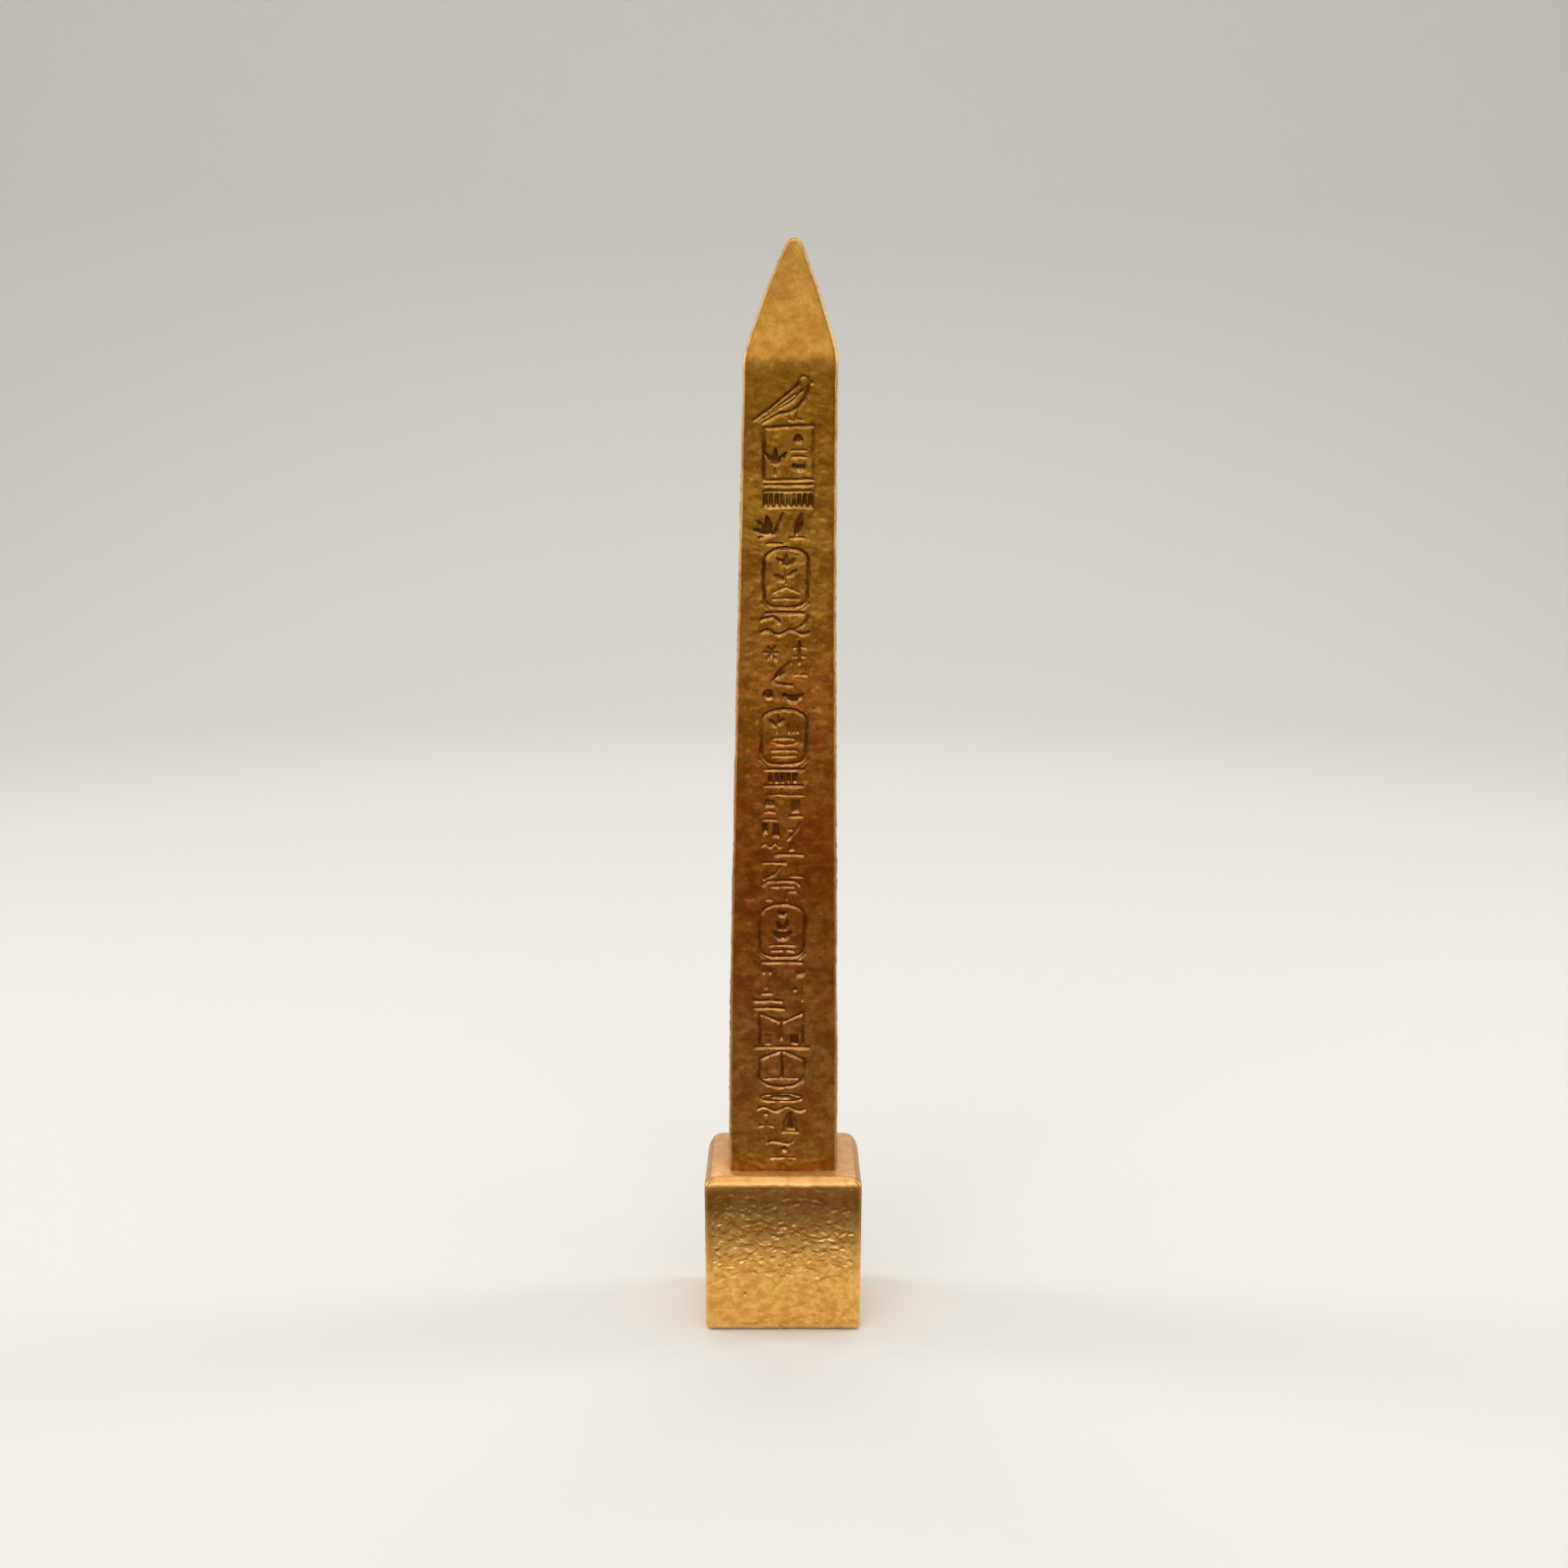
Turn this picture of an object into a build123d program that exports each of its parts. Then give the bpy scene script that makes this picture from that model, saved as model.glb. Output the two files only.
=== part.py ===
"""Desk-size cast brass obelisk: a tapered four-sided shaft screwed onto a cube plinth.

Millimetres, +Z up. The origin is the centre of the underside, the front faces -Y and +X is its right.
"""

import os
from math import radians, tan

from build123d import *

# Overall
total_height = 250.0

# Plinth block
base_width = 36.5  # at the top, as if the edges there were sharp
base_depth = 36.5
base_height = 36.8
base_draft = 0.3  # each side leans in by this much from the top down to the foot
base_top_round = 1.8
base_corner_round = 1.2
base_foot_round = 1.2

# Shaft, a separate casting that stands on the plinth
foot_width = 25.1
foot_depth = 25.1
shoulder_width = 20.9
shoulder_depth = 20.9
point_height = 26.0  # from the shoulder to the tip
shoulder_shift = 1.65  # the shaft leans this far to its right at the shoulder
shoulder_lean = 0.014  # slope of the lean there
tip_shift = 2.5  # and the tip stands this far to the right of the plinth's axis
tip_width = 2.4  # of the point before its tip is rounded off
flank_bulge = 0.45  # how far each side of the point bows outwards
shoulder_round = 12.0
edge_round = 1.0
tip_round = 1.35

# Screw that holds the two castings together, driven from below
screw_diameter = 6.0
screw_length = 45.0
head_diameter = 10.0
head_height = 6.0
head_edge = 0.5
key_width = 5.0  # across the flats of the hexagonal socket
key_depth = 3.2
screw_tip_chamfer = 0.8
washer_diameter = 12.0
washer_thickness = 1.6

# Holes for the screw
shank_clearance = 0.3  # around the shank, in the plinth
washer_clearance = 0.2  # around the shank, in the washer
thread_clearance = 0.05  # around the shank, in the shaft's tapped hole
recess_clearance = 1.0  # around the washer, in the recess under the plinth
head_setback = 1.4  # from the foot of the plinth up to the screw's head
tapped_spare = 2.5  # of tapped hole past the end of the screw
drill_point_angle = 118.0

# Worked out from the sizes above
shoulder_height = total_height - point_height
head_top = head_setback + head_height
recess_depth = head_top + washer_thickness
screw_top = head_top + screw_length
tapped_depth = screw_top + tapped_spare - base_height


def bowed(start, end, bulge):
    """Arc from start to end that bows outwards, away from the middle of the outline, by bulge."""
    start, end = Vector(*start), Vector(*end)
    chord = end - start
    outward = Vector(chord.Y, -chord.X).normalized()
    if start.X < end.X:
        outward = -outward
    return ThreePointArc(start, (start + end) * 0.5 + outward * bulge, end)


def upright_outline(foot, shoulder, shift, lean, tip):
    """Face of the shaft's outline seen square on: curved taper, rounded shoulders, bowed point."""
    foot_left, foot_right = (-foot / 2, base_height), (foot / 2, base_height)
    shoulder_left = (shift - shoulder / 2, shoulder_height)
    shoulder_right = (shift + shoulder / 2, shoulder_height)
    tip_left, tip_right = (tip - tip_width / 2, total_height), (tip + tip_width / 2, total_height)
    tangents = ((0, 1), (lean, 1))
    edges = [
        Spline(foot_left, shoulder_left, tangents=tangents),
        bowed(shoulder_left, tip_left, flank_bulge),
        Line(tip_left, tip_right),
        bowed(shoulder_right, tip_right, flank_bulge),
        Spline(foot_right, shoulder_right, tangents=tangents),
        Line(foot_left, foot_right),
    ]
    face = make_face(edges)
    shoulders = [v for v in face.vertices() if abs(v.Y - shoulder_height) < 0.01]
    return fillet(shoulders, shoulder_round)


def crossed(front, side, width, depth):
    """Solid that shows one outline from the front and the other from the side."""
    across = extrude(Plane.XZ.offset(-depth) * front, 2 * depth)
    along = extrude(Plane.YZ.offset(-width) * side, 2 * width)
    return across & along


def bored_from_below(depth, diameter):
    """Drilled hole that starts at the shaft's foot, with the cone that the drill leaves."""
    radius = diameter / 2
    cone = radius / tan(radians(drill_point_angle / 2))
    section = Polyline(
        (0, base_height), (radius, base_height), (radius, base_height + depth),
        (0, base_height + depth + cone), close=True,
    )
    return revolve(Plane.XZ * make_face(section), Axis.Z)


def make_shaft():
    """The upper casting: front and side outlines crossed, so that every face keeps its curve."""
    front = upright_outline(foot_width, shoulder_width, shoulder_shift, shoulder_lean, tip_shift)
    side = upright_outline(foot_depth, shoulder_depth, 0, 0, 0)
    body = crossed(front, side, foot_width, foot_depth)
    corners = [e for e in body.edges() if abs((e @ 1).Z - (e @ 0).Z) > edge_round]
    body = fillet(corners, edge_round)
    tip = body.faces().sort_by(Axis.Z)[-1]
    body = fillet(tip.edges(), tip_round)
    return body - bored_from_below(tapped_depth, screw_diameter + 2 * thread_clearance)


def drafted_outline(width):
    """Face of the plinth's outline seen square on, a little narrower at the foot than at the top."""
    foot, top = width / 2 - base_draft, width / 2
    corners = (-foot, 0), (foot, 0), (top, base_height), (-top, base_height)
    return make_face(Polyline(*corners, close=True))


def make_base_block():
    """The lower casting: a cube with softly rounded top edges, bored and recessed from below."""
    block = crossed(drafted_outline(base_width), drafted_outline(base_depth), base_width, base_depth)
    upright = [e for e in block.edges() if abs((e @ 1).Z - (e @ 0).Z) > base_height / 2]
    block = fillet(upright, base_corner_round)
    block = fillet(block.faces().sort_by(Axis.Z)[-1].edges(), base_top_round)
    block = fillet(block.faces().sort_by(Axis.Z)[0].edges(), base_foot_round)
    shank_hole = screw_diameter / 2 + shank_clearance
    recess = washer_diameter / 2 + recess_clearance
    block -= cylinder_between(0, base_height, shank_hole)
    return block - cylinder_between(0, recess_depth, recess)


def cylinder_between(low, high, radius):
    return Pos(0, 0, (low + high) / 2) * Cylinder(radius, high - low)


def make_fixing_screw():
    """Socket-head cap screw, head down, its shank reaching up into the shaft."""
    head = cylinder_between(head_setback, head_top, head_diameter / 2)
    head = chamfer(head.edges().group_by(Axis.Z)[0], head_edge)
    shank = cylinder_between(head_top, screw_top, screw_diameter / 2)
    shank = chamfer(shank.edges().group_by(Axis.Z)[-1], screw_tip_chamfer)
    key = Pos(0, 0, head_setback) * RegularPolygon(key_width / 2, 6, major_radius=False)
    return head + shank - extrude(key, key_depth)


def make_washer():
    """Flat washer between the screw's head and the roof of the recess."""
    disc = cylinder_between(head_top, recess_depth, washer_diameter / 2)
    return disc - cylinder_between(head_top, recess_depth, screw_diameter / 2 + washer_clearance)


pieces = {
    "shaft": make_shaft(),
    "base_block": make_base_block(),
    "fixing_screw": make_fixing_screw(),
    "screw_washer": make_washer(),
}

os.makedirs("parts", exist_ok=True)
for name, piece in pieces.items():
    export_step(piece, f"parts/{name}.step")
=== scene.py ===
"""Desk-size cast brass obelisk, carved down all four sides, on a rough cube plinth.

Sizes are in millimetres unless a comment says otherwise; every finished mesh is scaled to metres.
+Z is up, the front faces -Y and +X is its right.
"""

import math

import bpy
import numpy as np
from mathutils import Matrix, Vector


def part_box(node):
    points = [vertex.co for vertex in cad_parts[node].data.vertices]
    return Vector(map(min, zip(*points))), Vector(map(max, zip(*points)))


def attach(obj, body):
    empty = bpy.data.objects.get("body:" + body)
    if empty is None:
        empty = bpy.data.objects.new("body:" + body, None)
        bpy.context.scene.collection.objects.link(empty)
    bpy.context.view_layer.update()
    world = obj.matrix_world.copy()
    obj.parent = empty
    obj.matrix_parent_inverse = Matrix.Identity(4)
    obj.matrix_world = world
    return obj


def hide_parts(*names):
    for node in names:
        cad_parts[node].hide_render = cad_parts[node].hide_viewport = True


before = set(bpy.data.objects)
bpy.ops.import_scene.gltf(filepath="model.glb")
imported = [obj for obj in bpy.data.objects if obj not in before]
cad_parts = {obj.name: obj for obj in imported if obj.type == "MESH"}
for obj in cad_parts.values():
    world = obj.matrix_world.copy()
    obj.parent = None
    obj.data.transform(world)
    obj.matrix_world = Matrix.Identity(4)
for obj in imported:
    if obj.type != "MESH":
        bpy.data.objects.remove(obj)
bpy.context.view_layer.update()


# ---------------------------------------------------------------------------------------------
# The shaft: one brass casting with its pyramid point. It was cast in sand from a hand-cut
# pattern, so it leans a little, its edges are soft and its sides are not quite flat. A column of
# ornament is cut into each side, and dark wax is left in the cuts.

metre = 0.001
shaft_foot, shaft_tip = (corner[2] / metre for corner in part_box("shaft"))
point_height = 26.6
shaft_shoulder = shaft_tip - point_height
foot_width = 25.1
shoulder_width = 21.1
shoulder_shift = 1.65
shoulder_lean = 0.014
tip_shift = 2.5
tip_width = 2.4
flank_bulge = 0.48
shoulder_blend = 0.68
tip_radius = 1.81
tip_start = shaft_tip - 1.1
tip_turn = math.radians(23.3)
arris_round = 1.0
brink_width = 1.6
hole_radius = 3.05
hole_depth = 18.1
drill_point = 1.83


def shaft_outline(z):
    """Half width of the shaft and how far its middle has leaned over, at height z."""
    rise = np.clip((z - shaft_foot) / (shaft_shoulder - shaft_foot), 0, 1)
    ease = rise * rise * (3 - 2 * rise)
    taper = (foot_width + (shoulder_width - foot_width) * ease) / 2
    lean = shoulder_shift * ease
    lean += shoulder_lean * (shaft_shoulder - shaft_foot) * rise * rise * (rise - 1)
    up = (z - shaft_shoulder) / (shaft_tip - shaft_shoulder)
    flank = (shoulder_width + (tip_width - shoulder_width) * up) / 2
    up = np.clip(up, 0, 1)
    flank += 4 * flank_bulge * up * (1 - up)
    blend = np.maximum(shoulder_blend - np.abs(taper - flank), 0) ** 2 / (4 * shoulder_blend)
    lean += up * (tip_shift - shoulder_shift)
    return np.minimum(taper, flank) - blend, lean


def ring(z, half, corner, lean=0.0, skin=1.0, rim=0.0):
    """One row of a casting's skin: a rounded square round the axis at height z.

    skin is 0 where the surface was machined, and rim is 1 on a rounded edge that hands rub, whose brightening
    also paints its highlight."""
    return [z, half, corner, lean, skin, rim]


def skin_of_rings(name, rings, along_side, corner_steps, edge_wear_and_highlight=1.0, closed=False):
    """Mesh through stacked rings. Each point is noted with its place on its side, the way out, how much it
    is rubbed bright, which also paints its highlight, how much of it is cast skin, and how near it is to the
    brink of its side."""
    z, half, corner, lean, skin, rim = (column[:, None] for column in np.array(rings).T)
    straight = half - corner
    turn = np.radians(np.arange(1, corner_steps) * 90 / corner_steps)[None]
    across = np.hstack([straight * along_side, straight + corner * np.sin(turn)])
    out = np.hstack([half + 0 * along_side, straight + corner * np.cos(turn)])
    rows, per_side = across.shape

    # Where corners fill nearly the whole ring, its points are spread evenly round a circle.
    round_share = np.clip((corner / half - 0.7) / 0.3, 0, 1)
    swing = np.radians(np.linspace(-45, 45, per_side + 1))[None, :-1]
    across += (half * np.sin(swing) - across) * round_share
    out += (half * np.cos(swing) - out) * round_share

    facing = np.hstack([0 * along_side, np.sin(turn[0])]), np.hstack([0 * along_side + 1, np.cos(turn[0])])
    arris = edge_wear_and_highlight * np.hstack([0 * along_side, np.sin(2 * turn[0])])
    brink = np.clip(1 - (straight - np.abs(across)) / brink_width, 0, 1)
    spots, places, outward, wear_and_highlight, cast, brinks = [], [], [], [], [], []
    for quarter in range(4):
        c, s = round(math.cos(quarter * math.pi / 2)), round(math.sin(quarter * math.pi / 2))
        x, y = across * c + out * s, across * s - out * c
        spots.append(np.stack([x + lean, y, z + 0 * x], -1))
        places.append(np.stack([across, z + 0 * x, 0 * x], -1))
        level = np.stack([facing[0] * c + facing[1] * s, facing[0] * s - facing[1] * c, 0 * facing[0]], -1)
        outward.append(np.broadcast_to(level, spots[-1].shape))
        wear_and_highlight.append(np.maximum(arris, rim + 0 * x))
        cast.append(skin + 0 * x)
        brinks.append(brink)

    # Faces join each ring to the next. The ends are closed with a fan, or the last ring meets the first.
    around = 4 * per_side
    grid = np.arange(rows * around).reshape(rows, around)
    if closed:
        grid = np.vstack([grid, grid[:1]])
    beside = np.roll(grid, -1, axis=1)
    faces = np.stack([grid[:-1], beside[:-1], beside[1:], grid[1:]], -1).reshape(-1, 4).tolist()
    points = np.concatenate(spots, 1).reshape(-1, 3)
    if not closed:
        poles = np.array([[rings[0][3], 0, rings[0][0]], [rings[-1][3], 0, rings[-1][0]]])
        faces += [(len(points), b, a) for a, b in zip(grid[0], beside[0])]
        faces += [(len(points) + 1, a, b) for a, b in zip(grid[-1], beside[-1])]
        points = np.vstack([points, poles])
    mesh = bpy.data.meshes.new(name)
    mesh.from_pydata(points * metre, [], faces)
    notes = {"place": places, "outward": outward, "wear_and_highlight": wear_and_highlight, "cast": cast, "brink": brinks}
    for title, parts in notes.items():
        values = np.concatenate(parts, 1)
        flat = values.ndim == 2
        values = values.reshape(rows * around, -1)
        values = np.vstack([values, np.zeros((len(points) - len(values), values.shape[1]))])
        note = mesh.attributes.new(title, "FLOAT" if flat else "FLOAT_VECTOR", "POINT")
        note.data.foreach_set("value" if flat else "vector", values.ravel().astype(np.float32))
    return mesh


def mark(mesh, marks):
    """Notes dents, rubbed spots and painted highlights: each runs between two points, with a radius, a depth
    and a shine.
    """
    spots = np.empty(3 * len(mesh.vertices))
    mesh.vertices.foreach_get("co", spots)
    spots = spots.reshape(-1, 3) / metre
    wear_and_highlight = np.empty(len(spots))
    mesh.attributes["wear_and_highlight"].data.foreach_get("value", wear_and_highlight)
    dent = np.zeros(len(spots))
    for start, stop, radius, depth, shine in marks:
        start, run = np.array(start), np.subtract(stop, start)
        part = np.clip((spots - start) @ run / (run @ run + 1e-9), 0, 1)
        near = np.linalg.norm(spots - start - part[:, None] * run, axis=1)
        near = np.clip(1 - near / radius, 0, 1)
        near = near * near * (3 - 2 * near)
        dent = np.maximum(dent, depth * near)
        wear_and_highlight = np.maximum(wear_and_highlight, shine * near)
    mesh.attributes["wear_and_highlight"].data.foreach_set("value", wear_and_highlight.astype(np.float32))
    mesh.attributes.new("dent", "FLOAT", "POINT").data.foreach_set("value", dent.astype(np.float32))


# Every row of the shaft, from the drill's point inside it, out over the foot and up to the tip.
# The rows lie closest where the ornament is.
hole_top = shaft_foot + hole_depth
rows = []
for k in (0.05, 0.5, 1):
    rows.append(ring(hole_top + drill_point * (1 - k), hole_radius * k, hole_radius * k, skin=0))
rows += [ring(z, hole_radius, hole_radius, skin=0) for z in np.linspace(hole_top, shaft_foot, 5)[1:]]
for k in (0.25, 0.5, 0.75, 1):
    reach = hole_radius + (foot_width / 2 - hole_radius) * k
    rows.append(ring(shaft_foot, reach, hole_radius + (arris_round - hole_radius) * k, skin=0))
carved_from, carved_to = 38.5, 220.5
plain_step, carved_step = 0.3, 0.16
heights = np.concatenate([
    np.arange(shaft_foot + plain_step, carved_from, plain_step),
    np.arange(carved_from, carved_to, carved_step),
    np.arange(carved_to, tip_start, plain_step),
])
for z in heights:
    half, lean = shaft_outline(z)
    rows.append(ring(z, half, min(arris_round, half * 0.6), lean))
half, lean = shaft_outline(tip_start)
for k in np.linspace(tip_turn, math.radians(86), 10):
    climb = (math.sin(k) - math.sin(tip_turn)) * tip_radius
    reach = math.cos(k) * tip_radius
    roundness = min(1, 0.6 + 0.8 * (k - tip_turn))
    corner = min(arris_round + 0.2, reach * roundness)
    rows.append(ring(tip_start + climb, reach, corner, lean, rim=0.75))

# Across a side the points lie closest where the ornament is. The arrises are rubbed brightest on the point,
# which also paints their highlight there.
ornament_left, ornament_right = -0.86, 0.78
along_side = np.concatenate([
    np.linspace(-1, ornament_left, 5)[:-1],
    np.linspace(ornament_left, ornament_right, 116),
    np.linspace(ornament_right, 1, 6)[1:],
])
shaft_wear_and_highlight = np.interp([row[0] for row in rows], [212, 222], [0.85, 1.0])[:, None]
shaft_mesh = skin_of_rings("shaft_casting", rows, along_side, corner_steps=6, edge_wear_and_highlight=shaft_wear_and_highlight)
mark(shaft_mesh, [
    ((10.3, -12.3, 44.4), (10.0, -12.3, 46.0), 0.7, 0.0, 1.0),
    ((11.0, -12.2, 57.0), (10.8, -12.2, 57.8), 0.5, 0.1, 0.9),
    ((9.0, -12.3, 42.1), (9.3, -12.3, 42.3), 0.4, 0.0, 0.8),
    ((12.1, -11.9, 185.6), (12.2, -11.0, 186.4), 0.8, 0.25, 1.0),
    ((12.4, -11.2, 80.1), (12.3, -11.5, 80.9), 0.8, 0.2, 1.0),
    ((-12.3, -12.1, 47.6), (-12.3, -11.9, 48.3), 0.7, 0.2, 1.0),
    ((-9.4, -10.6, 205.2), (-9.3, -10.6, 206.8), 0.6, 0.2, 0.9),
    ((12.1, -9.9, 216.5), (12.1, -9.6, 219.5), 0.8, 0.15, 1.0),
    ((6.9, -10.8, 133.9), (7.1, -10.9, 134.0), 0.4, 0.1, 0.9),
    ((6.4, -11.3, 117.8), (6.8, -11.3, 117.9), 0.4, 0.1, 0.9),
])


# The ornament is drawn flat, x across the side and z up it, with lines for the two gouges and
# closed outlines for what is sunk whole. It is made up for this piece: a falcon on a panelled
# gate, three rings, ripples, combs, leaves and discs, in an order that spells nothing.
cuts = {"broad": [], "fine": []}
hollows = []


def line(tool, *points):
    cuts[tool].append(list(points))


def bar(tool, left, right, z):
    line(tool, (left, z), ((left + right) / 2, z + 0.06), (right, z - 0.04))


def bend(x, z, width, height, start, stop):
    """Points along part of an oval, between two angles in degrees."""
    steps = max(4, round(abs(stop - start) / 15))
    turns = np.radians(np.linspace(start, stop, steps + 1))
    return [(x + width / 2 * math.cos(t), z + height / 2 * math.sin(t)) for t in turns]


def disc(x, z, width, height=None):
    hollows.append(bend(x, z, width, height or width, 0, 345))


def slot(left, low, right, high):
    hollows.append([(left, low), (right, low), (right, high), (left, high)])


def cup(x, z, width):
    """A half moon that opens upwards."""
    hollows.append(bend(x, z, width, width, 190, 350) + bend(x, z, width * 0.9, width * 0.3, 340, 200))


def leaf(x, z, length, lean, width):
    """A leaf that grows from x, z, leaning over by so many degrees."""
    c, s = math.cos(math.radians(90 - lean)), math.sin(math.radians(90 - lean))
    half = [(t * length, width / 2 * math.sin(math.pi * t ** 0.8)) for t in np.linspace(0, 1, 8)]
    rim = half + [(t, -w) for t, w in half[-2:0:-1]]
    hollows.append([(x + t * c - w * s, z + t * s + w * c) for t, w in rim])


def ripple(tool, left, right, z, height, crests):
    """Running water: a level wavy line with so many crests."""
    steps = 8 * crests
    levels = [z + height / 2 * math.sin(2 * math.pi * k / 8) for k in range(steps + 1)]
    line(tool, *zip(np.linspace(left, right, steps + 1), levels))


def name_ring(low, high, width=9.8):
    """An upright ring with a bar under it, and the ends of its tie beside its foot."""
    side = width / 2
    line("broad", (-side, low + 2.5), (-side, high - 2.8), *bend(0, high - 2.8, width, 5.4, 175, 5),
         (side, high - 2.8), (side, low + 2.5))
    foot = [(side, low + 2.5), (side - 0.4, low + 1.4), (side - 1.3, low + 0.6),
            (side - 2.6, low + 0.2), (0, low + 0.2)]
    for way in (-1, 1):
        line("broad", *[(way * x, z) for x, z in foot])
        line("fine", (way * (side + 0.5), low + 1.3), (way * (side - 1.1), low - 0.2))
    bar("broad", 0.6 - side, side - 0.6, low - 1.1)


def lens(x, z, width, height):
    """An eye-shaped boss, outlined."""
    line("fine", *bend(x, z, width, height, 180, 0))
    line("fine", *bend(x, z, width, height, 180, 360))


def post(x, low, high, foot):
    """An upright peg on a short foot."""
    line("fine", (x, low), (x, high))
    bar("fine", x - foot / 2, x + foot / 2, low)


# Falcon: head and beak, breast, back, wing and tail, legs
line("fine", (2.2, 217.0), (2.3, 218.1), (3.1, 218.8), (4.1, 218.5), (4.6, 217.7), (5.3, 217.2), (4.5, 216.9))
line("broad", (4.5, 216.9), (4.3, 215.4), (3.5, 213.7), (2.2, 212.2), (0.5, 211.1), (-2.4, 210.4),
     (-5.4, 208.8))
line("broad", (2.2, 217.0), (0.8, 215.7), (-2.4, 212.9), (-5.2, 210.7), (-7.4, 209.2))
line("fine", (3.1, 215.7), (1.2, 213.6), (-1.8, 211.7), (-6.4, 209.0))
line("fine", (1.7, 214.9), (-0.8, 213.0), (-4.6, 210.5))
line("fine", (1.7, 211.7), (1.8, 209.4), (3.2, 209.2))
line("fine", (0.0, 210.9), (0.2, 209.3), (1.4, 209.0))
# Gate that it stands on: panel, lintels and slats
line("broad", (5.8, 207.9), (-5.2, 207.6), (-5.2, 195.9), (5.8, 196.1))
line("fine", (5.8, 207.9), (5.8, 190.2))
bar("broad", -5.1, 5.6, 194.9)
bar("broad", -5.1, 5.6, 193.5)
for k in range(9):
    slot(-5.0 + 1.25 * k, 190.2, -4.45 + 1.25 * k, 192.9)
bar("fine", -5.3, 5.9, 189.9)
for lean in (-42, 0, 42):
    leaf(-2.6, 199.2, 3.6, lean, 0.9)
line("fine", (-2.6, 199.4), (-2.6, 197.3))
disc(2.4, 204.9, 1.7)
bar("fine", 1.0, 4.4, 202.4)
bar("fine", 1.0, 4.4, 201.0)
cup(2.7, 199.4, 2.8)
# Palm sprig and reed
for lean in (-75, -45, -14):
    leaf(-3.4, 183.9, 4.2, lean, 1.1)
line("broad", (-6.0, 183.2), (-2.6, 184.2), (-0.9, 188.6))
leaf(2.2, 183.6, 5.0, 12, 1.5)
bar("fine", 0.9, 4.2, 183.2)
bar("fine", -4.4, -1.0, 181.9)
# First ring: a flower on a leafy stem, over a chevron
name_ring(167.4, 181.0)
for lean in (-50, 0, 50):
    leaf(0, 176.9, 2.5, lean, 0.9)
line("fine", (0, 177.0), (0, 172.8))
leaf(-0.4, 173.6, 2.6, -58, 0.9)
leaf(0.4, 174.6, 2.4, 58, 0.9)
line("fine", (-3.0, 170.9), (0, 172.2), (3.0, 170.9))
bar("fine", -2.8, 2.8, 169.5)
# Running water under a bent bough
line("broad", (-5.4, 164.9), (-2.6, 165.6), (-1.3, 164.3))
line("broad", (2.6, 162.8), (4.6, 164.0), (5.2, 165.7))
ripple("broad", -5.4, 5.4, 162.0, 1.1, 2)
# Star, ladder and curled leaf
for lean in (0, 60, 120):
    c, s = math.cos(math.radians(lean)), math.sin(math.radians(lean))
    line("broad", (-3.0 - 1.5 * c, 157.4 - 1.5 * s), (-3.0 + 1.5 * c, 157.4 + 1.5 * s))
line("broad", (3.2, 155.2), (3.2, 159.8))
bar("fine", 1.9, 4.6, 158.6)
bar("fine", 1.9, 4.6, 156.6)
leaf(-2.4, 151.2, 5.4, 42, 1.4)
line("broad", (-2.8, 151.1), (-1.2, 150.2), (1.6, 150.1))
bar("fine", 2.2, 5.0, 152.4)
# Disc and bowl
disc(-3.7, 147.9, 1.9)
cup(1.9, 148.3, 4.6)
# Second ring: a sedge beside three strokes, a long bud and bars
name_ring(132.0, 144.7, 10.2)
line("fine", (-1.6, 139.2), (-1.4, 143.2))
leaf(-1.6, 140.6, 2.2, -48, 0.8)
leaf(-1.4, 141.2, 1.7, 52, 0.7)
for x in (1.1, 2.2, 3.2):
    line("fine", (x, 139.4), (x, 140.9))
lens(0, 137.4, 5.8, 1.5)
bar("fine", -2.9, 2.9, 135.3)
bar("fine", -2.6, 2.6, 134.0)
# Comb
for k in range(5):
    slot(-3.3 + 1.4 * k, 127.9, -2.6 + 1.4 * k, 130.0)
bar("broad", -4.4, 4.2, 127.2)
bar("fine", -3.4, 4.6, 125.0)
# Small work between the second and third ring
slot(-3.9, 122.6, -2.1, 123.6)
bar("fine", -4.2, -2.0, 121.2)
slot(1.9, 121.2, 3.5, 123.6)
bar("broad", 1.4, 4.2, 120.2)
bar("fine", -4.6, -1.6, 119.4)
slot(-2.2, 115.6, -1.0, 118.2)
slot(-4.5, 116.4, -3.7, 118.3)
line("broad", (3.9, 118.6), (2.7, 116.3), (1.2, 114.9))
line("fine", (1.2, 117.2), (3.0, 116.9))
ripple("fine", -4.6, -0.2, 113.4, 0.8, 2)
slot(1.6, 112.3, 2.6, 113.9)
bar("broad", -1.8, 4.4, 111.3)
bar("broad", -4.6, 0.6, 109.5)
line("broad", (-0.6, 108.6), (-1.8, 106.9), (-4.2, 105.8))
post(3.1, 106.3, 109.4, 2.8)
line("broad", (-4.4, 104.4), (-3.4, 105.2), (2.8, 105.2), (3.8, 104.3))
bar("fine", -2.9, 2.6, 103.9)
post(-3.0, 100.9, 103.0, 1.4)
line("fine", (1.0, 100.8), (1.0, 102.8), (3.2, 102.8))
# Third ring: a half moon over a bowl of reeds
name_ring(87.3, 99.9, 10.2)
cup(0, 98.1, 2.2)
leaf(-0.3, 93.6, 2.4, -24, 0.9)
leaf(0.3, 93.6, 2.8, 20, 0.9)
cup(0, 93.6, 4.2)
bar("fine", -3.0, 3.0, 90.3)
bar("fine", -2.6, 2.6, 89.0)
# Pips on a stem, a cup and two long bars
disc(-4.2, 84.0, 0.9)
disc(-2.7, 84.0, 0.9)
line("fine", (-3.4, 83.2), (-3.4, 80.2))
bar("fine", -4.4, -2.2, 79.0)
cup(4.2, 84.3, 2.2)
line("fine", (4.6, 81.2), (4.6, 77.2))
disc(3.1, 79.9, 0.7)
bar("broad", -6.4, -0.1, 77.2)
bar("broad", -6.4, 0.4, 75.5)
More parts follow.
